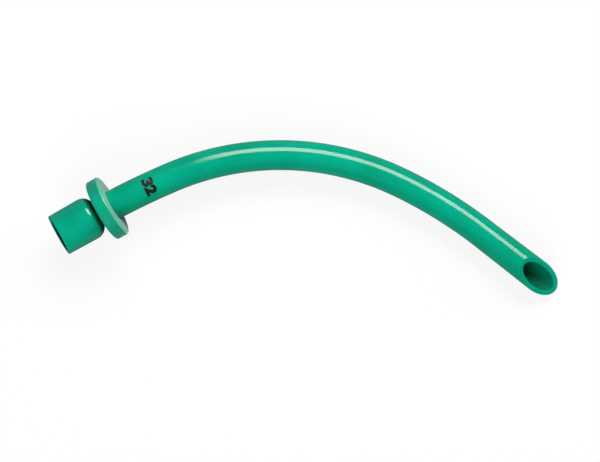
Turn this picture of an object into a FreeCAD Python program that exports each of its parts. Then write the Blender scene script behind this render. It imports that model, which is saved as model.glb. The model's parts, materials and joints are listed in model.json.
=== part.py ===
import FreeCAD, Part
import math
import os
from FreeCAD import Vector

# A nasal airway: a soft curved tube with a slanted tip, a conical end connector glued on its
# near end, and a separate soft ring that slides along the tube and stops it at the nostril.
# All lengths are millimetres and all angles degrees.

# tube
tube_diameter = 10.67        # size 32, counted in thirds of a millimetre
tube_wall = 1.6
near_bend_radius = 270.0
near_bend_angle = 6.3
main_bend_radius = 98.0
main_bend_angle = 48.8
far_bend_radius = 163.0
far_bend_angle = 12.3
tip_length = 33.0            # straight stretch, out to the far point of the slanted cut
tip_swell = 0.5              # how much wider the outside is at the tip
bevel_angle = 35.0           # between the slanted cut and the tube's axis
bevel_turn = 6.0             # turn of the cut about the tube's axis
tip_rim_round = 0.65

# end connector
connector_diameter = 15.5    # at its widest
connector_length = 15.5
connector_taper = 40.0       # length over change of diameter
connector_wall = 1.6         # at the mouth
mouth_chamfer = 0.4
mouth_depth = 6.0
funnel_length = 2.0
stop_thickness = 0.8         # the tube's end is pushed up against this
shoulder_radius = 4.5
shoulder_sweep = 58.0        # how far round the shoulder curves before the end face
glue_gap = 0.03

# sliding ring
ring_diameter = 22.8
ring_thickness = 4.7
ring_chamfer = 0.5
ring_clearance = 0.08        # radial, between the ring and the tube
ring_lean = 14.0             # the soft ring sits askew on the tube
ring_gap = 0.4               # from the connector's end face to the nearest point of the ring

# limits that the small edges keep, and how close two points count as one
edge_share = 0.45            # the most that a rounded or chamfered edge takes of its wall
same_place = 0.01

# sizes that follow
tube_radius = tube_diameter / 2
lumen_radius = tube_radius - tube_wall
tip_radius = tube_radius + tip_swell / 2
near_bend_length = near_bend_radius * math.radians(near_bend_angle)
main_bend_length = main_bend_radius * math.radians(main_bend_angle)
far_bend_length = far_bend_radius * math.radians(far_bend_angle)
bent_length = near_bend_length + main_bend_length + far_bend_length
tube_length = bent_length + tip_length
bevel_slope = math.radians(bevel_angle)

seat_radius = tube_radius + glue_gap
seat_length = connector_length - mouth_depth - funnel_length - stop_thickness
widest_radius = connector_diameter / 2
shoulder_length = shoulder_radius * math.sin(math.radians(shoulder_sweep))
end_face_radius = widest_radius - shoulder_radius * (1 - math.cos(math.radians(shoulder_sweep)))
mouth_radius = widest_radius - (connector_length - shoulder_length) / connector_taper / 2
mouth_bore_radius = mouth_radius - connector_wall

lean = math.radians(ring_lean)
ring_radius = ring_diameter / 2
ring_half = ring_thickness / 2
ring_edge = min(ring_chamfer, edge_share * ring_thickness)
ring_contact_radius = max(end_face_radius, seat_radius)
ring_station = ring_gap + ring_half / math.cos(lean) + ring_contact_radius * math.tan(lean)
ring_travel = near_bend_length - ring_station - ring_half

# The model is drawn lying flat. The tube leaves the connector's end face at the origin along +X
# and bends towards -Y. A stretch of its axis is a length and a bend radius, None where straight.
along = Vector(1, 0, 0)
up = Vector(0, 0, 1)
bends = [
    (near_bend_length, near_bend_radius),
    (main_bend_length, main_bend_radius),
    (far_bend_length, far_bend_radius),
]
tip_stretch = (tip_length, None)


def heading_vector(degrees):
    return Vector(math.cos(math.radians(degrees)), math.sin(math.radians(degrees)), 0)


# Where the axis is after a length of one stretch, and the way it points there.
def after_stretch(point, heading, length, radius):
    if radius is None:
        return point + heading_vector(heading) * length, heading
    turned = heading - math.degrees(length / radius)
    centre = point + heading_vector(heading - 90) * radius
    return centre + heading_vector(turned + 90) * radius, turned


# Where the axis is at a distance from the connector's end face, and the way it points there.
def axis_at(station):
    point, heading = Vector(0, 0, 0), 0.0
    if station <= 0:
        return point + along * station, heading
    for length, radius in bends + [tip_stretch]:
        walked = min(station, length)
        point, heading = after_stretch(point, heading, walked, radius)
        station -= walked
        if station <= 0:
            break
    return point, heading


# A round bar that follows the axis, from a distance behind the end face to the end of the bends.
def bent_bar(radius, start_station):
    start = along * start_station
    edges = [Part.LineSegment(start, Vector(0, 0, 0)).toShape()]
    point, heading = Vector(0, 0, 0), 0.0
    for length, bend_radius in bends:
        middle, _ = after_stretch(point, heading, length / 2, bend_radius)
        end, end_heading = after_stretch(point, heading, length, bend_radius)
        edges.append(Part.Arc(point, middle, end).toShape())
        point, heading = end, end_heading
    section = Part.Face(Part.Wire(Part.makeCircle(radius, start, along)))
    return Part.Wire(edges).makePipe(section)


# The straight stretch's start and direction, and the middle of the slanted cut.
def tip_place():
    start, heading = axis_at(bent_length)
    way = heading_vector(heading)
    return start, way, start + way * (tip_length - tip_radius / math.tan(bevel_slope))


def make_tube():
    tip_start, tip_way, cut_middle = tip_place()
    outside = bent_bar(tube_radius, -seat_length)
    outside = outside.fuse(Part.makeCone(tube_radius, tip_radius, tip_length, tip_start, tip_way))
    lumen = bent_bar(lumen_radius, -seat_length)
    lumen = lumen.fuse(Part.makeCylinder(lumen_radius, tip_length, tip_start, tip_way))
    tube = outside.cut(lumen)

    # The cut slopes from the side that faces up down to the far point of the tip.
    facing = FreeCAD.Rotation(tip_way, bevel_turn).multVec(up)
    cut_normal = tip_way * math.sin(bevel_slope) + facing * math.cos(bevel_slope)
    cutter_reach = 2 * tip_radius / math.sin(bevel_slope)
    tube = tube.cut(Part.makeCylinder(cutter_reach, cutter_reach, cut_middle, cut_normal))

    # Both edges of the cut are rounded.
    rim = []
    for edge in tube.Edges:
        places = [edge.valueAt(edge.FirstParameter), edge.valueAt(edge.LastParameter)]
        places.append(edge.valueAt((edge.FirstParameter + edge.LastParameter) / 2))
        if all(abs((place - cut_middle).dot(cut_normal)) < same_place for place in places):
            rim.append(edge)
    return tube.makeFillet(min(tip_rim_round, edge_share * tube_wall), rim)


def make_connector():
    mouth_x = -connector_length
    shoulder_x = -shoulder_length
    half_sweep = math.radians(shoulder_sweep / 2)
    shoulder_middle = Vector(
        shoulder_x + shoulder_radius * math.sin(half_sweep),
        widest_radius - shoulder_radius * (1 - math.cos(half_sweep)),
        0,
    )
    mouth = Vector(mouth_x, 0, 0)
    mouth_corner = Vector(mouth_x, mouth_radius, 0)
    shoulder_start = Vector(shoulder_x, widest_radius, 0)
    end_corner = Vector(0, end_face_radius, 0)
    outline = Part.Wire([
        Part.LineSegment(mouth, mouth_corner).toShape(),
        Part.LineSegment(mouth_corner, shoulder_start).toShape(),
        Part.Arc(shoulder_start, shoulder_middle, end_corner).toShape(),
        Part.LineSegment(end_corner, Vector(0, 0, 0)).toShape(),
        Part.LineSegment(Vector(0, 0, 0), mouth).toShape(),
    ])
    connector = Part.Face(outline).revolve(Vector(0, 0, 0), along, 360)

    funnel_start = mouth + along * mouth_depth
    connector = connector.cut(Part.makeCylinder(mouth_bore_radius, mouth_depth, mouth, along))
    connector = connector.cut(
        Part.makeCone(mouth_bore_radius, lumen_radius, funnel_length, funnel_start, along))
    connector = connector.cut(Part.makeCylinder(lumen_radius, connector_length, mouth, along))
    connector = connector.cut(
        Part.makeCylinder(seat_radius, seat_length, along * -seat_length, along))

    # Both edges of the mouth lead in with a chamfer.
    rim = [edge for edge in connector.Edges if edge.BoundBox.XMax < mouth_x + same_place]
    return connector.makeChamfer(min(mouth_chamfer, edge_share * connector_wall), rim)


# The middle of the ring, the tube's direction there, and the leaning ring's own axis.
def ring_place():
    middle, heading = axis_at(ring_station)
    tube_way = heading_vector(heading)
    return middle, tube_way, tube_way * math.cos(lean) + up * math.sin(lean)


# The disc leans, and its bore goes straight along the tube.
def make_ring():
    middle, tube_way, ring_axis = ring_place()
    near_face = middle - ring_axis * ring_half
    ring = Part.makeCylinder(ring_radius, ring_thickness, near_face, ring_axis)
    rims = [edge for edge in ring.Edges if edge.Closed and not edge.isSeam(ring.Faces[0])]
    ring = ring.makeChamfer(ring_edge, rims)
    bore_start = middle - tube_way * ring_diameter
    bore_radius = tube_radius + ring_clearance
    return ring.cut(Part.makeCylinder(bore_radius, 2 * ring_diameter, bore_start, tube_way))


# Every outline that could touch the floor, as circles: middle, axis and radius.
def floor_circles():
    circles = []
    steps = 120
    for step in range(steps + 1):
        station = tube_length * step / steps
        point, heading = axis_at(station)
        swell = max(0.0, station - bent_length) / tip_length
        radius = tube_radius + (tip_radius - tube_radius) * swell
        circles.append((point, heading_vector(heading), radius))
    circles.append((along * -connector_length, along, mouth_radius))
    circles.append((along * -shoulder_length, along, widest_radius))
    middle, _, ring_axis = ring_place()
    for side in (-1, 1):
        circles.append((middle + ring_axis * side * ring_half, ring_axis, ring_radius - ring_edge))
        circles.append((middle + ring_axis * side * (ring_half - ring_edge), ring_axis, ring_radius))
    return circles


# Narrows a range down to where a valley of values is lowest.
def valley(value_at, low, high):
    closest = 1e-4
    while high - low > closest:
        third = (high - low) / 3
        if value_at(low + third) < value_at(high - third):
            high -= third
        else:
            low += third
    return (low + high) / 2


# The way down when the airway lies on a floor by itself: its centre of mass is then lowest.
def way_down(shapes):
    solids = [solid for shape in shapes for solid in shape.Solids]
    volume = sum(solid.Volume for solid in solids)
    mass_centre = Vector(0, 0, 0)
    for solid in solids:
        mass_centre += solid.CenterOfMass * (solid.Volume / volume)
    circles = floor_circles()

    def tilted(tilt_x, tilt_y):
        return Vector(tilt_x, tilt_y, -1).normalize()

    def height(tilt_x, tilt_y):
        down = tilted(tilt_x, tilt_y)
        reach = max(
            point.dot(down) + radius * math.sqrt(max(0.0, 1 - axis.dot(down) ** 2))
            for point, axis, radius in circles)
        return reach - mass_centre.dot(down)

    most = 0.5

    def best_tilt_x(tilt_y):
        return valley(lambda tilt_x: height(tilt_x, tilt_y), -most, most)

    tilt_y = valley(lambda tilt: height(best_tilt_x(tilt), tilt), -most, most)
    return tilted(best_tilt_x(tilt_y), tilt_y)


# Lays the airway on the floor with its length along X and the middle of its box at the origin.
def resting_placement(shapes):
    level = FreeCAD.Rotation(way_down(shapes), -up)
    mouth = level.multVec(along * -connector_length)
    tip = level.multVec(axis_at(tube_length)[0])
    heading = math.degrees(math.atan2(tip.y - mouth.y, tip.x - mouth.x))
    turn = FreeCAD.Rotation(up, -heading).multiply(level)
    placed = Part.Compound([shape.copy() for shape in shapes])
    placed.Placement = FreeCAD.Placement(Vector(0, 0, 0), turn)
    box = placed.optimalBoundingBox(False, False)
    return FreeCAD.Placement(Vector(-box.Center.x, -box.Center.y, -box.ZMin), turn)


def say(label, vector):
    print(label, " ".join("%.5f" % value for value in vector))


pieces = {
    "airway_tube": make_tube(),
    "end_connector": make_connector(),
    "sliding_ring": make_ring(),
}
placement = resting_placement(list(pieces.values()))
os.makedirs("parts", exist_ok=True)
for name, shape in pieces.items():
    shape.Placement = placement
    shape.exportStep("parts/" + name + ".step")
    print(name, "solids", len(shape.Solids), "valid", shape.isValid(), "volume %.2f" % shape.Volume)

# places that other parts and the sliding ring go by
turn = placement.Rotation
tip_start, tip_way, cut_middle = tip_place()
ring_middle, _, ring_axis = ring_place()
ring_face = ring_middle + ring_axis * ring_half
ring_face += Vector(0, 1, 0).cross(ring_axis).normalize() * (ring_radius + tube_radius) / 2
say("mouth", placement.multVec(along * -connector_length))
say("mouth_way_out", turn.multVec(-along))
say("tip_start", placement.multVec(tip_start))
say("tip_way_out", turn.multVec(tip_way))
say("cut_middle", placement.multVec(cut_middle))
say("ring_face", placement.multVec(ring_face))
say("ring_face_way_out", turn.multVec(ring_axis))
say("ring_bend_centre", placement.multVec(Vector(0, -near_bend_radius, 0)))
say("ring_bend_axis", turn.multVec(-up))
print("mouth_bore_radius %.4f" % mouth_bore_radius)
print("lumen_radius %.4f" % lumen_radius)
print("ring_travel_angle %.4f" % math.degrees(ring_travel / near_bend_radius))
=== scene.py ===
import bpy
import bmesh
import json
import math
from mathutils import Matrix, Vector

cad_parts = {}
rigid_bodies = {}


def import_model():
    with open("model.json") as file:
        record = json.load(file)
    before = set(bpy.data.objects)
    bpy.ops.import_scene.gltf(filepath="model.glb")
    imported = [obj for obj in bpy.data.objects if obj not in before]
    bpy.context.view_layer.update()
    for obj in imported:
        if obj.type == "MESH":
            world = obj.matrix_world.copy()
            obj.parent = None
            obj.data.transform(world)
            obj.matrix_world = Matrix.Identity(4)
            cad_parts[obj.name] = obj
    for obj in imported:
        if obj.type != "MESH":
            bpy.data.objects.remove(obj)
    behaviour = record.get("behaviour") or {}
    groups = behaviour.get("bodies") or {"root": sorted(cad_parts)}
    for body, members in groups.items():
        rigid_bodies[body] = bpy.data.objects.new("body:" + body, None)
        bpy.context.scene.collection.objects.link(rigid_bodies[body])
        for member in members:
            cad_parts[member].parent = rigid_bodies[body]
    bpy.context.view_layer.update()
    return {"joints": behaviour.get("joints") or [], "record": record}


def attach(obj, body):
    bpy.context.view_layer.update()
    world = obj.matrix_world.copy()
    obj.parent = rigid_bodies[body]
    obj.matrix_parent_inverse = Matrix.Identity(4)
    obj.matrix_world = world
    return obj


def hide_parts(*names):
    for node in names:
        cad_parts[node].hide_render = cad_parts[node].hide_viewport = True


# A soft vinyl nasal airway lying on a white table, seen from above.
# Pieces are modelled in millimetres with the connector's end face at the origin, the tube
# leaving along +X and bending towards -Y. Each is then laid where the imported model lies.

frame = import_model()
print("packed model loaded")

mm = 0.001
samePlace = 0.001                 # points nearer than this many millimetres are one
upwards = Vector((0, 0, 1))


# Selecting and shaping

def deselectAll():
    bpy.ops.object.select_all(action="DESELECT")


def makeActive(piece):
    deselectAll()
    piece.select_set(True)
    bpy.context.view_layer.objects.active = piece


def startEditing(piece):
    makeActive(piece)
    bpy.ops.object.mode_set(mode="EDIT")
    bpy.ops.mesh.select_mode(type="VERT")


def stopEditing():
    bpy.ops.object.mode_set(mode="OBJECT")


# Selects the edges of the piece being edited that a test picks.
def selectEdges(piece, picked):
    bpy.ops.mesh.select_mode(type="EDGE")
    bpy.ops.mesh.select_all(action="DESELECT")
    mesh = bmesh.from_edit_mesh(piece.data)
    for edge in mesh.edges:
        if picked(edge):
            edge.select_set(True)
    mesh.select_flush_mode()
    bmesh.update_edit_mesh(piece.data)


def faceOutwards():
    bpy.ops.mesh.select_all(action="SELECT")
    bpy.ops.mesh.normals_make_consistent(inside=False)


def applyModifier(piece, kind, **settings):
    makeActive(piece)
    modifier = piece.modifiers.new(kind.lower(), kind)
    for name, value in settings.items():
        setattr(modifier, name, value)
    bpy.ops.object.modifier_apply(modifier=modifier.name)


def applyPlace():
    bpy.ops.object.transform_apply(location=True, rotation=True, scale=True)


def addCircle(radius, x, sides):
    bpy.ops.mesh.primitive_circle_add(
        vertices=sides, radius=radius, fill_type="NOTHING",
        location=(x, 0, 0), rotation=(0, math.pi / 2, 0))


def extrudeBy(step):
    bpy.ops.mesh.extrude_edges_move(TRANSFORM_OT_translate={"value": step})


def roundEdges(radius, steps):
    bpy.ops.mesh.bevel(offset=radius, segments=steps, profile=0.5, clamp_overlap=False)


def smoothFaces(piece):
    makeActive(piece)
    bpy.ops.object.shade_smooth()
    applyModifier(piece, "WEIGHTED_NORMAL", mode="FACE_AREA", keep_sharp=True)


def headingVector(degrees):
    return Vector((math.cos(math.radians(degrees)), math.sin(math.radians(degrees)), 0))


# Colours and materials

def toLinear(hexColour):
    channels = [int(hexColour[i:i + 2], 16) / 255 for i in (1, 3, 5)]
    linear = [c / 12.92 if c <= 0.04045 else ((c + 0.055) / 1.055) ** 2.4 for c in channels]
    return (*linear, 1.0)


# Each input gets a value, or another node's socket to be linked to. Inputs that share one
# name, as those of Math and Mix do, go by number.
def addNode(tree, kind, inputs, **settings):
    node = tree.nodes.new(kind)
    for name, value in settings.items():
        setattr(node, name, value)
    for name, value in inputs.items():
        if isinstance(value, bpy.types.NodeSocket):
            tree.links.new(value, node.inputs[name])
        else:
            node.inputs[name].default_value = value
    return node


def newMaterial(name):
    material = bpy.data.materials.new(name)
    material.use_nodes = True
    material.node_tree.nodes.clear()
    return material, material.node_tree


# Puts a material on the piece and gives back the number of its slot.
def addMaterial(piece, material):
    piece.data.materials.append(material)
    return len(piece.data.materials) - 1


# Gives the selected faces the material in a slot.
def paintSelected(piece, slotNumber):
    bpy.ops.mesh.select_mode(type="FACE")
    piece.active_material_index = slotNumber
    bpy.ops.object.material_slot_assign()


# Soft PVC, drawn from a die and set to its bends while warm. The skin is even and looks wet:
# a lamp shows in it as one long clean line, and the green has hardly a cloud.
extrudedVinyl = {
    "name": "soft PVC, extruded and bent over a mandrel",
    "light": "#00AA88",
    "main": "#00A482",
    "deep": "#009D7B",
    "tintStops": (0.32, 0.5, 0.7),    # where the clouds are deep, main and light
    "cloudSize": 14.0,            # mm across the slow changes of colour
    "smearShare": 0.3,            # size of the smears in the gloss, as a share of a cloud
    "grainSize": 5.0,             # mm between the faint ripples that the die leaves
    "grainDepth": 0.004,
    "roughness": (0.08, 0.11),
    "gloss": 0.32,
    "sheen": 0.0,
    "sheenSpread": 0.35,
    "ior": 1.53,
    "subsurface": 0.3,
    "depth": 2.0,                 # mm that light travels inside
    "bleed": (0.1, 1.0, 0.8),     # red is soaked up soonest and green goes furthest
}

# Firm PVC from a polished mould: as glossy, with one small crisp highlight on the shoulder.
mouldedVinyl = dict(
    extrudedVinyl, name="firm PVC, injection moulded and polished",
    cloudSize=9.0, roughness=(0.07, 0.1), gloss=0.42, subsurface=0.05)

# Soft PVC from an etched mould: satin, with no clear highlight and a pale bloom at its edges.
# The real grain is about 0.1 mm, finer than the picture shows, so it is drawn at 1.5 mm.
ringVinyl = dict(
    extrudedVinyl, name="soft PVC, injection moulded, satin",
    cloudSize=8.0, roughness=(0.26, 0.34), grainSize=1.5, grainDepth=0.006,
    gloss=0.4, subsurface=0.05, sheen=0.4)

# The ring's face towards the tip is painted paler than its rim, a painted reflection of the
# bright table that it mirrors at a slant, and is chalky, with a rough skin and full sheen.
ringFacePaintedReflectionVinyl = dict(
    ringVinyl, name="soft PVC, ring face, painted pale reflection",
    light="#5CC5A9", main="#54BFA2", deep="#4CB799", roughness=(0.45, 0.55), sheen=1.0)

# The tube's bore is left dull where it slid off the pin, with hardly any gloss, and its deeper
# green is painted shade, for the little light that gets inside.
lumenPaintedShadeVinyl = dict(
    extrudedVinyl, name="soft PVC, bore, painted shade",
    light="#008060", main="#007354", deep="#00674A", roughness=(0.35, 0.45), gloss=0.03)

# The connector's end face and the foot of its shoulder are as dull and get the same deeper
# green: painted shade, as the end faces away from the lamps and the foot dips into the groove.
dimPaintedShadeVinyl = dict(lumenPaintedShadeVinyl, name="firm PVC, painted dim shade")

# Inside the connector and in the groove at its root the green is painted close to black:
# painted shade, where hardly any light gets in.
deepPaintedShadeVinyl = dict(
    lumenPaintedShadeVinyl, name="firm PVC, painted deep shade", light="#003D2B", main="#003424", deep="#002A1C")


def vinyl(look):
    material, tree = newMaterial(look["name"])
    spot = addNode(tree, "ShaderNodeTexCoord", {}).outputs["Object"]
    cloud = addNode(tree, "ShaderNodeTexNoise", {
        "Vector": spot, "Scale": 1 / (look["cloudSize"] * mm), "Detail": 2.0, "Roughness": 0.45})
    deepAt, mainAt, lightAt = look["tintStops"]
    tint = addNode(tree, "ShaderNodeValToRGB", {"Fac": cloud.outputs["Fac"]})
    tint.color_ramp.elements[0].position = deepAt
    tint.color_ramp.elements[0].color = toLinear(look["deep"])
    tint.color_ramp.elements[1].position = lightAt
    tint.color_ramp.elements[1].color = toLinear(look["light"])
    tint.color_ramp.elements.new(mainAt).color = toLinear(look["main"])
    low, high = look["roughness"]
    smear = addNode(tree, "ShaderNodeTexNoise", {
        "Vector": spot, "Scale": 1 / (look["cloudSize"] * look["smearShare"] * mm),
        "Detail": 3.0})
    rough = addNode(tree, "ShaderNodeMapRange", {
        "Value": smear.outputs["Fac"], "From Min": 0.35, "From Max": 0.65,
        "To Min": low, "To Max": high})
    ripple = addNode(tree, "ShaderNodeTexNoise", {
        "Vector": spot, "Scale": 1 / (look["grainSize"] * mm), "Detail": 1.0})
    skin = addNode(tree, "ShaderNodeBump", {
        "Height": ripple.outputs["Fac"], "Strength": 0.5, "Distance": look["grainDepth"] * mm})
    surface = addNode(tree, "ShaderNodeBsdfPrincipled", {
        "Base Color": tint.outputs["Color"],
        "Roughness": rough.outputs["Result"],
        "Normal": skin.outputs["Normal"],
        "IOR": look["ior"],
        "Subsurface Weight": look["subsurface"],
        "Subsurface Radius": look["bleed"],
        "Subsurface Scale": look["depth"] * mm,
        "Sheen Weight": look["sheen"],
        "Sheen Roughness": look["sheenSpread"],
        "Specular IOR Level": look["gloss"],
    })
    addNode(tree, "ShaderNodeOutputMaterial", {"Surface": surface.outputs["BSDF"]})
    return material


# The tube

tube = {
    "radius": 5.335,              # gauge 32 is 10.67 mm across
    "wall": 1.6,
    "seat": 6.7,                  # how far it reaches into the connector
    "bends": [                    # one after the other from the connector on
        {"radius": 270.0, "angle": 6.3, "steps": 8},
        {"radius": 98.0, "angle": 48.8, "steps": 56},
        {"radius": 163.0, "angle": 12.3, "steps": 16},
    ],
    "tip": 34.7,                  # straight stretch out to the far point of the cut
    "swell": 0.25,                # how much larger the outside radius is at the tip
    "bevel": 32.2,                # slope of the cut against the axis
    "bevelTurn": 6.0,             # how far the cut is turned about the axis
    "rimRound": 0.65,             # both edges of the cut are rounded by a ball this size
    "rimSteps": 10,
    "sides": 96,
}


# The centre of a bend that turns to the right, and the point and heading where it ends.
def followBend(point, heading, radius, angle):
    centre = point + headingVector(heading - 90) * radius
    heading -= angle
    return centre, centre + headingVector(heading + 90) * radius, heading


# Where the tube's axis is after a distance along its bends, and its heading there.
def axisAt(station):
    point, heading = Vector((0, 0, 0)), 0.0
    for bend in tube["bends"]:
        turned = min(math.degrees(station / bend["radius"]), bend["angle"])
        centre, point, heading = followBend(point, heading, bend["radius"], turned)
        station -= bend["radius"] * math.radians(turned)
        if station < samePlace:
            break
    return point, heading


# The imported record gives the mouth's axis and the centre that the ring slides around.
def findPlace():
    mouth = [mount for mount in frame["record"]["mounts"] if mount["name"] == "mouth_bore"][0]
    slide = frame["joints"][0]
    along = -Vector(mouth["axis"]).normalized()
    up = -Vector(slide["axis"]).normalized()
    side = up.cross(along).normalized()
    start = Vector(slide["pos_m"]) + side * tube["bends"][0]["radius"] * mm
    turn = Matrix((along, side, up)).transposed().to_4x4()
    return Matrix.Translation(start) @ turn @ Matrix.Scale(mm, 4)


layingPlace = findPlace()


def layDown(piece, body, node=None):
    piece.matrix_world = layingPlace @ piece.matrix_world
    makeActive(piece)
    applyPlace()
    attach(piece, body)
    if node:
        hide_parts(node)


# Adds a loop at the seat's start and sweeps a wall from it round all the bends. Each point
# keeps the angle of its spoke, which places it again at the tip.
def sweepWall(piece, radius):
    bpy.ops.mesh.select_all(action="DESELECT")
    addCircle(radius, -tube["seat"], tube["sides"])
    mesh = bmesh.from_edit_mesh(piece.data)
    spoke = mesh.verts.layers.float.get("spoke") or mesh.verts.layers.float.new("spoke")
    for vertex in mesh.verts:
        if vertex.select:
            vertex[spoke] = math.atan2(vertex.co.z, vertex.co.y)
    bmesh.update_edit_mesh(piece.data)
    extrudeBy((tube["seat"], 0, 0))
    point, heading = Vector((0, 0, 0)), 0.0
    for bend in tube["bends"]:
        centre, point, heading = followBend(point, heading, bend["radius"], bend["angle"])
        bpy.ops.mesh.spin(
            steps=bend["steps"], angle=math.radians(bend["angle"]), center=centre,
            axis=upwards)


# The slanted cut: where the tip's straight stretch starts, its way, a point on the cut and
# the way that the cut faces.
def findCut():
    bentLength = sum(bend["radius"] * math.radians(bend["angle"]) for bend in tube["bends"])
    start, heading = axisAt(bentLength)
    way = headingVector(heading)
    slope = math.radians(tube["bevel"])
    upright = Matrix.Rotation(math.radians(tube["bevelTurn"]), 3, way) @ upwards
    facing = way * math.sin(slope) + upright * math.cos(slope)
    tipRadius = tube["radius"] + tube["swell"]
    middle = start + way * (tube["tip"] - tipRadius / math.tan(slope))
    return start, way, middle, facing


# Extrudes the selected loop and sets it on a ball that rolls along an edge of the cut. The
# turn runs from 0 on the tube's outer or inner wall to 1 on the cut.
def rollLoop(piece, cut, outer, turn):
    start, way, middle, facing = cut
    ball = tube["rimRound"]
    extrudeBy((0, 0, 0))
    mesh = bmesh.from_edit_mesh(piece.data)
    spoke = mesh.verts.layers.float["spoke"]
    level = upwards.cross(way)
    for vertex in mesh.verts:
        if not vertex.select:
            continue
        outwards = level * math.cos(vertex[spoke]) + upwards * math.sin(vertex[spoke])
        radius, wallWay = tube["radius"] - tube["wall"] + ball, -outwards
        if outer:
            radius, wallWay = tube["radius"] + tube["swell"] - ball, outwards
        centre = start + outwards * radius
        centre += way * ((middle - centre).dot(facing) - ball) / way.dot(facing)
        vertex.co = centre + wallWay.slerp(facing, turn) * ball
    bmesh.update_edit_mesh(piece.data)


def makeTube():
    deselectAll()
    bpy.ops.mesh.primitive_plane_add()
    piece = bpy.context.object
    piece.name = "tube_soft"
    addMaterial(piece, vinyl(extrudedVinyl))
    lumen = addMaterial(piece, vinyl(lumenPaintedShadeVinyl))

    # the plane only gives an empty mesh at the origin
    startEditing(piece)
    bpy.ops.mesh.delete(type="VERT")

    # outer wall, over the cut's two rounded edges and just into the bore
    sweepWall(piece, tube["radius"])
    cut = findCut()
    steps = tube["rimSteps"]
    for step in range(steps + 1):
        rollLoop(piece, cut, True, step / steps)
    for step in range(steps + 1):
        rollLoop(piece, cut, False, 1 - step / steps)
    bpy.ops.mesh.select_all(action="SELECT")
    bpy.ops.mesh.hide()

    # inner wall, which meets the outer one where the rounding ends
    sweepWall(piece, tube["radius"] - tube["wall"])
    rollLoop(piece, cut, False, 0)
    bpy.ops.mesh.select_linked()
    # painted shade: the inner wall gets the deeper green
    paintSelected(piece, lumen)
    bpy.ops.mesh.reveal()
    bpy.ops.mesh.select_all(action="SELECT")
    bpy.ops.mesh.remove_doubles(threshold=samePlace)

    # the ring of wall at the seat's start
    selectEdges(piece, lambda edge: edge.is_boundary)
    bpy.ops.mesh.bridge_edge_loops()
    faceOutwards()
    stopEditing()
    piece.data.attributes.remove(piece.data.attributes["spoke"])
    smoothFaces(piece)
    layDown(piece, "airway", "airway_tube")
    print("tube", len(piece.data.polygons), "faces")


# The end connector

connector = {
    "length": 15.5,
    "mouthRadius": 7.604,         # the outside is a 15 mm cone that tapers 1 in 40
    "widestRadius": 7.75,
    "shoulderRadius": 4.5,
    "shoulderSweep": 58.0,
    "shoulderSteps": 12,
    "seatRadius": tube["radius"] + 0.03,             # with room for the glue
    "stop": 0.8,                  # length of the narrow part that the tube comes up against
    "passageRadius": tube["radius"] - tube["wall"],  # flush with the tube's bore
    "funnel": 2.0,
    "mouthBoreRadius": 6.004,
    "rimRound": 0.3,
    "rimSteps": 4,
    "dimRoot": 2.1,               # painted dim shade on the shoulder over this last stretch
    "shadedRoot": 1.5,            # and painted shade close to black over this one, as in the deep groove
    "shadeOver": 0.05,            # how far the bore's shade comes over the mouth's edge
    "sides": 96,
}


# Places along the axis and radii, from the shoulder's start over the shoulder, into the seat,
# past the stop and through the funnel to the mouth's inner edge.
def connectorOutline():
    widest, shoulder = connector["widestRadius"], connector["shoulderRadius"]
    sweep = math.radians(connector["shoulderSweep"])
    shoulderX = -shoulder * math.sin(sweep)
    outline = [(shoulderX, widest)]
    for step in range(1, connector["shoulderSteps"] + 1):
        angle = sweep * step / connector["shoulderSteps"]
        drop = shoulder * (1 - math.cos(angle))
        outline.append((shoulderX + shoulder * math.sin(angle), widest - drop))
    seatEnd = -tube["seat"]
    stopEnd = seatEnd - connector["stop"]
    funnelEnd = stopEnd - connector["funnel"]
    return outline + [
        (0.0, connector["seatRadius"]),
        (seatEnd, connector["seatRadius"]),
        (seatEnd, connector["passageRadius"]),
        (stopEnd, connector["passageRadius"]),
        (funnelEnd, connector["mouthBoreRadius"]),
        (-connector["length"], connector["mouthBoreRadius"]),
    ]


def makeConnector():
    length = connector["length"]
    deselectAll()
    addCircle(connector["mouthRadius"], -length, connector["sides"])
    piece = bpy.context.object
    piece.name = "connector_firm"
    applyPlace()
    addMaterial(piece, vinyl(mouldedVinyl))
    # painted shade: near black for the bore and the groove's root, dim for the end and the
    # shoulder's foot
    bore = addMaterial(piece, vinyl(deepPaintedShadeVinyl))
    dimShadeSlot = addMaterial(piece, vinyl(dimPaintedShadeVinyl))

    # one loop for each point of the outline, and the last joined to the first
    startEditing(piece)
    bpy.ops.mesh.select_all(action="SELECT")
    x, radius = -length, connector["mouthRadius"]
    for nextX, nextRadius in connectorOutline():
        extrudeBy((nextX - x, 0, 0))
        growth = nextRadius / radius
        bpy.ops.transform.resize(value=(1, growth, growth), center_override=(nextX, 0, 0))
        x, radius = nextX, nextRadius
    selectEdges(piece, lambda edge: edge.is_boundary)
    bpy.ops.mesh.bridge_edge_loops()
    faceOutwards()

    def isMouthEdge(edge):
        flat = [all(v.co.x < -length + samePlace for v in face.verts) for face in edge.link_faces]
        return flat.count(True) == 1

    # the end face and the foot of the shoulder, which get the painted dim shade
    def isDim(edge):
        places = [v.co.x for v in edge.verts]
        return max(places) < -length + samePlace or min(places) > -connector["dimRoot"]

    # the bore's wall and the root of the shoulder, which get the painted shade close to black
    def inShade(edge):
        radii = [Vector((0, v.co.y, v.co.z)).length for v in edge.verts]
        inBore = max(radii) < connector["mouthBoreRadius"] + connector["shadeOver"]
        return inBore or min(v.co.x for v in edge.verts) > -connector["shadedRoot"]

    selectEdges(piece, isMouthEdge)
    roundEdges(connector["rimRound"], connector["rimSteps"])
    selectEdges(piece, isDim)
    paintSelected(piece, dimShadeSlot)
    selectEdges(piece, inShade)
    paintSelected(piece, bore)
    stopEditing()
    smoothFaces(piece)
    layDown(piece, "airway", "end_connector")
    print("connector", len(piece.data.polygons), "faces")


# The sliding ring

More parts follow.
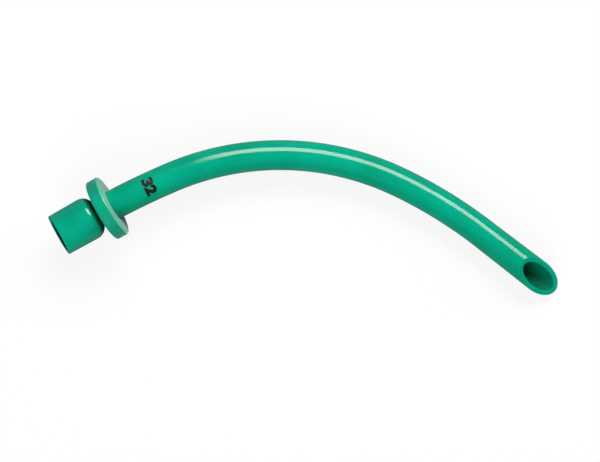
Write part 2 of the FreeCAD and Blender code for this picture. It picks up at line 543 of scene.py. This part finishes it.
ring = {
    "radius": 11.4,
    "thickness": 4.7,
    "lean": 14.0,                 # the soft ring sits askew on the tube
    "station": 4.227,             # how far its middle is along the tube
    "boreRadius": tube["radius"] + 0.08,    # clear of the tube all round
    "boreRound": 0.3,
    "boreSteps": 3,
    "edgeRound": 0.8,
    "edgeSteps": 6,
    "paintedReflectionReach": 0.45,              # how far the painted pale reflection of the far face reaches over its edge
    "sides": 96,
}


def addCylinder(radius, depth, middle, way):
    bpy.ops.mesh.primitive_cylinder_add(
        vertices=ring["sides"], radius=radius, depth=depth,
        location=middle, rotation=way.to_track_quat("Z", "Y").to_euler())
    return bpy.context.object


def makeRing():
    middle, heading = axisAt(ring["station"])
    tubeWay = headingVector(heading)
    lean = math.radians(ring["lean"])
    ringWay = tubeWay * math.cos(lean) + upwards * math.sin(lean)
    half = ring["thickness"] / 2

    # an edge of a flat face, which is the only kind with more than four corners
    def isRim(edge):
        return any(len(face.verts) > 4 for face in edge.link_faces)

    def isBoreEdge(edge):
        distances = [(v.co - middle).cross(tubeWay).length for v in edge.verts]
        heights = [abs(abs((v.co - middle).dot(ringWay)) - half) for v in edge.verts]
        return max(distances) < ring["boreRadius"] + samePlace and max(heights) < samePlace

    # the face towards the tip and about half of its rounded edge, which get the painted pale
    # reflection
    def isPaintedReflection(edge):
        return min((v.co - middle).dot(ringWay) for v in edge.verts) > half - ring["paintedReflectionReach"]

    deselectAll()
    piece = addCylinder(ring["radius"], ring["thickness"], middle, ringWay)
    piece.name = "ring_soft"
    applyPlace()
    addMaterial(piece, vinyl(ringVinyl))
    # the far face's painted reflection, a paler green
    paintedReflectionSlot = addMaterial(piece, vinyl(ringFacePaintedReflectionVinyl))
    startEditing(piece)
    selectEdges(piece, isRim)
    roundEdges(ring["edgeRound"], ring["edgeSteps"])
    stopEditing()

    # the hole goes straight along the tube, so it crosses the leaning faces at a slant
    deselectAll()
    bore = addCylinder(ring["boreRadius"], ring["radius"] * 2, middle, tubeWay)
    applyModifier(piece, "BOOLEAN", operation="DIFFERENCE", object=bore, solver="EXACT")
    bpy.data.objects.remove(bore)
    startEditing(piece)
    selectEdges(piece, isBoreEdge)
    roundEdges(ring["boreRound"], ring["boreSteps"])
    # painted reflection: the face towards the tip gets the paler green
    selectEdges(piece, isPaintedReflection)
    paintSelected(piece, paintedReflectionSlot)
    stopEditing()
    smoothFaces(piece)
    layDown(piece, "ring", "sliding_ring")
    print("ring", len(piece.data.polygons), "faces")


# The printed gauge number

number = {
    "text": "32",                 # the gauge of the tube
    "station": 20.5,              # how far its middle is along the tube
    "offCentre": -0.3,            # and how far it is to the left of the axis
    "height": 4.2,
    "width": 6.3,
    "bolder": 0.06,               # added to the font's outline, at the font's own size
    "sliceWidth": 0.35,
    "inkDepth": 0.04,
    "liftBy": 0.3,                # how far over the tube it is before it is laid on
    "creaseAngle": 40.0,
}

# Black ink off a soft pad: flat and matt, with thin spots where the green shows through. Real
# spots are about 0.2 mm and too fine for the picture, so they are drawn at 1.2 mm.
ink = {
    "name": "black pad-printed ink",
    "solid": "#141413",
    "thin": "#26302A",
    "filmStops": (0.5, 0.75),     # up to where the film is solid, and from where it is thin
    "patchSize": 1.2,
    "roughness": 0.42,
    "gloss": 0.2,
}


def printedInk(look):
    material, tree = newMaterial(look["name"])
    spot = addNode(tree, "ShaderNodeTexCoord", {}).outputs["Object"]
    patch = addNode(tree, "ShaderNodeTexNoise", {
        "Vector": spot, "Scale": 1 / (look["patchSize"] * mm), "Detail": 2.0})
    solidTo, thinFrom = look["filmStops"]
    film = addNode(tree, "ShaderNodeValToRGB", {"Fac": patch.outputs["Fac"]})
    film.color_ramp.elements[0].position = solidTo
    film.color_ramp.elements[0].color = toLinear(look["solid"])
    film.color_ramp.elements[1].position = thinFrom
    film.color_ramp.elements[1].color = toLinear(look["thin"])
    surface = addNode(tree, "ShaderNodeBsdfPrincipled", {
        "Base Color": film.outputs["Color"], "Roughness": look["roughness"],
        "Specular IOR Level": look["gloss"]})
    addNode(tree, "ShaderNodeOutputMaterial", {"Surface": surface.outputs["BSDF"]})
    return material


def makeNumber():
    middle, heading = axisAt(number["station"])
    across = headingVector(heading + 90)
    place = middle + across * number["offCentre"]
    place += upwards * (tube["radius"] + number["liftBy"])
    deselectAll()
    bpy.ops.object.text_add()
    piece = bpy.context.object
    piece.name = "printed_number"
    piece.data.body = number["text"]
    piece.data.offset = number["bolder"]
    bpy.ops.object.convert(target="MESH")
    points = [vertex.co for vertex in piece.data.vertices]
    low = Vector([min(point[i] for point in points) for i in range(3)])
    high = Vector([max(point[i] for point in points) for i in range(3)])
    size = Matrix.Diagonal((
        number["width"] / (high.x - low.x), number["height"] / (high.y - low.y), 1, 1))
    turn = Matrix.Rotation(math.radians(heading - 90), 4, "Z")
    piece.matrix_world = (
        Matrix.Translation(place) @ turn @ size @ Matrix.Translation(-(low + high) / 2))
    applyPlace()

    # cut into narrow slices, so that it can bend round the tube
    startEditing(piece)
    bpy.ops.mesh.select_all(action="SELECT")
    bpy.ops.mesh.remove_doubles(threshold=samePlace)
    slices = round(number["width"] / number["sliceWidth"])
    for step in range(1, slices):
        share = step / slices - 0.5
        bpy.ops.mesh.select_all(action="SELECT")
        bpy.ops.mesh.bisect(plane_co=place + across * share * number["width"], plane_no=across)
    stopEditing()
    addMaterial(piece, printedInk(ink))
    layDown(piece, "airway")

    # a thin film of ink, laid on the tube from above
    applyModifier(
        piece, "SHRINKWRAP", target=bpy.data.objects["tube_soft"], wrap_method="PROJECT",
        use_project_z=True, use_positive_direction=False, use_negative_direction=True)
    applyModifier(piece, "SOLIDIFY", thickness=number["inkDepth"] * mm, offset=0)
    startEditing(piece)
    faceOutwards()
    stopEditing()
    bpy.ops.object.shade_smooth_by_angle(angle=math.radians(number["creaseAngle"]))
    print("number", len(piece.data.polygons), "faces")


makeTube()
makeConnector()
makeRing()
makeNumber()


# The table. Matt laminate mirrors nothing and only keeps a soft shadow. The camera sees it
# nearly white, and what it throws back on the airway is grey.

table = {
    "size": 6.0,
    "seenColour": "#F4F4F3",
    "thrownColour": "#5E5E5D",
    "whiteShare": 0.85,           # how much of what the camera sees is plain white
    "mirroredShare": 0.05,        # and of what shows in the airway's gloss
}


def makeTable():
    deselectAll()
    bpy.ops.mesh.primitive_plane_add(size=table["size"])
    piece = bpy.context.object
    piece.name = "table_top"
    material, tree = newMaterial("matt white laminate")
    rays = addNode(tree, "ShaderNodeLightPath", {})
    colour = addNode(tree, "ShaderNodeMix", {
        0: rays.outputs["Is Camera Ray"], 6: toLinear(table["thrownColour"]),
        7: toLinear(table["seenColour"])}, data_type="RGBA")
    paper = addNode(tree, "ShaderNodeBsdfDiffuse", {"Color": colour.outputs[2]})
    white = addNode(tree, "ShaderNodeEmission", {"Color": (1, 1, 1, 1), "Strength": 1.0})
    seen = addNode(tree, "ShaderNodeMath", {
        0: rays.outputs["Is Camera Ray"], 1: table["whiteShare"]}, operation="MULTIPLY")
    mirrored = addNode(tree, "ShaderNodeMath", {
        0: rays.outputs["Is Glossy Ray"], 1: rays.outputs["Is Transmission Ray"]},
        operation="MAXIMUM")
    share = addNode(tree, "ShaderNodeMath", {
        0: mirrored.outputs["Value"], 1: table["mirroredShare"], 2: seen.outputs["Value"]},
        operation="MULTIPLY_ADD")
    blend = addNode(tree, "ShaderNodeMixShader", {
        0: share.outputs["Value"], 1: paper.outputs["BSDF"], 2: white.outputs["Emission"]})
    addNode(tree, "ShaderNodeOutputMaterial", {"Surface": blend.outputs["Shader"]})
    addMaterial(piece, material)


# The camera looks almost straight down on the middle of the airway, and the picture is turned
# a little on the table.

view = {
    "target": (-0.00184, -0.007545, 0.008),    # metres, as is the distance
    "distance": 1.3,
    "leanX": 1.768,               # degrees that the line of sight leans towards +X
    "leanY": 0.872,               # and towards +Y
    "roll": 6.247,
    "lens": 219.88,
    "sensor": 36.0,
    "seesTo": 20,                 # metres
}


def makeCamera():
    leanX, leanY = math.radians(view["leanX"]), math.radians(view["leanY"])
    lean = Vector((math.sin(leanX), math.sin(leanY), 0))
    forward = Vector((lean.x, lean.y, -math.sqrt(1 - lean.length_squared)))
    level = forward.cross(Vector((0, 1, 0))).normalized()
    upright = level.cross(forward)
    roll = math.radians(view["roll"])
    right = level * math.cos(roll) + upright * math.sin(roll)
    up = upright * math.cos(roll) - level * math.sin(roll)
    place = Matrix.Translation(Vector(view["target"]) - forward * view["distance"])
    deselectAll()
    bpy.ops.object.camera_add()
    camera = bpy.context.object
    camera.matrix_world = place @ Matrix((right, up, -forward)).transposed().to_4x4()
    camera.data.sensor_width = view["sensor"]
    camera.data.lens = view["lens"]
    camera.data.clip_end = view["seesTo"]
    bpy.context.scene.camera = camera


# The lamps face the middle of the table. Azimuths are degrees from +X, and lengths, places
# and slides to the side are metres.

# The gloss mirrors this soft box as one long bright line. It has three rows of lamps, and the
# lower ones are longer, so that the line keeps its width all along the bend.
softbox = {
    "azimuth": 82.8, "reach": 0.79, "height": 0.75, "slide": 0.15,
    "rows": [(-0.35, 0.27), (-0.435, 0.33), (-0.52, 0.39)],    # ends of each row, the upper first
    "rowWidth": 0.18,
    "powerPerArea": 39.0,         # watts per square metre
    "colour": "#FFE7EA",          # a little pink, so that the line is white on the green
}

# These only light the colour, and the gloss doesn't show them.
lamps = {
    "key": {"azimuth": 82.8, "reach": 0.80, "height": 0.75, "slide": -0.12,
            "length": 0.88, "width": 0.45, "power": 11.6},
    "card": {"azimuth": 40.0, "reach": 0.92, "height": 0.3, "slide": 0.0,
             "length": 0.4, "width": 0.4, "power": 2.6},
    "fill": {"azimuth": 262.0, "reach": 1.1, "height": 0.9, "slide": 0.0,
             "length": 1.4, "width": 1.0, "power": 17.5},
}

sky = {"strength": 0.06}


def findLampPlace(lamp):
    sideways = headingVector(lamp["azimuth"] - 90)
    middle = headingVector(lamp["azimuth"]) * lamp["reach"] + upwards * lamp["height"]
    back = middle.normalized()
    turn = Matrix((sideways, back.cross(sideways), back)).transposed().to_4x4()
    return Matrix.Translation(middle + sideways * lamp["slide"]) @ turn


def addLamp(name, place, length, width):
    deselectAll()
    bpy.ops.object.light_add(type="AREA")
    light = bpy.context.object
    light.name = name
    light.matrix_world = place
    light.data.shape = "RECTANGLE"
    light.data.size = length
    light.data.size_y = width
    return light


def makeSoftbox():
    middleRow = (len(softbox["rows"]) - 1) / 2
    for row, (left, right) in enumerate(softbox["rows"]):
        shift = ((left + right) / 2, (row - middleRow) * softbox["rowWidth"], 0)
        place = findLampPlace(softbox) @ Matrix.Translation(shift)
        light = addLamp(f"softbox_row_{row}", place, right - left, softbox["rowWidth"])
        light.data.energy = softbox["powerPerArea"] * light.data.size * light.data.size_y
        light.data.color = toLinear(softbox["colour"])[:3]
        light.visible_diffuse = False


def makeLamps():
    for name, lamp in lamps.items():
        light = addLamp(name, findLampPlace(lamp), lamp["length"], lamp["width"])
        light.data.energy = lamp["power"]
        light.visible_glossy = False


def makeSky():
    world = bpy.data.worlds.new("dim white room")
    bpy.context.scene.world = world
    world.use_nodes = True
    tree = world.node_tree
    tree.nodes.clear()
    room = addNode(tree, "ShaderNodeBackground", {
        "Color": (1, 1, 1, 1), "Strength": sky["strength"]})
    addNode(tree, "ShaderNodeOutputWorld", {"Surface": room.outputs["Background"]})


makeTable()
makeCamera()
makeSoftbox()
makeLamps()
makeSky()
bpy.context.scene.view_settings.view_transform = "Standard"
print("table, camera and light ready")
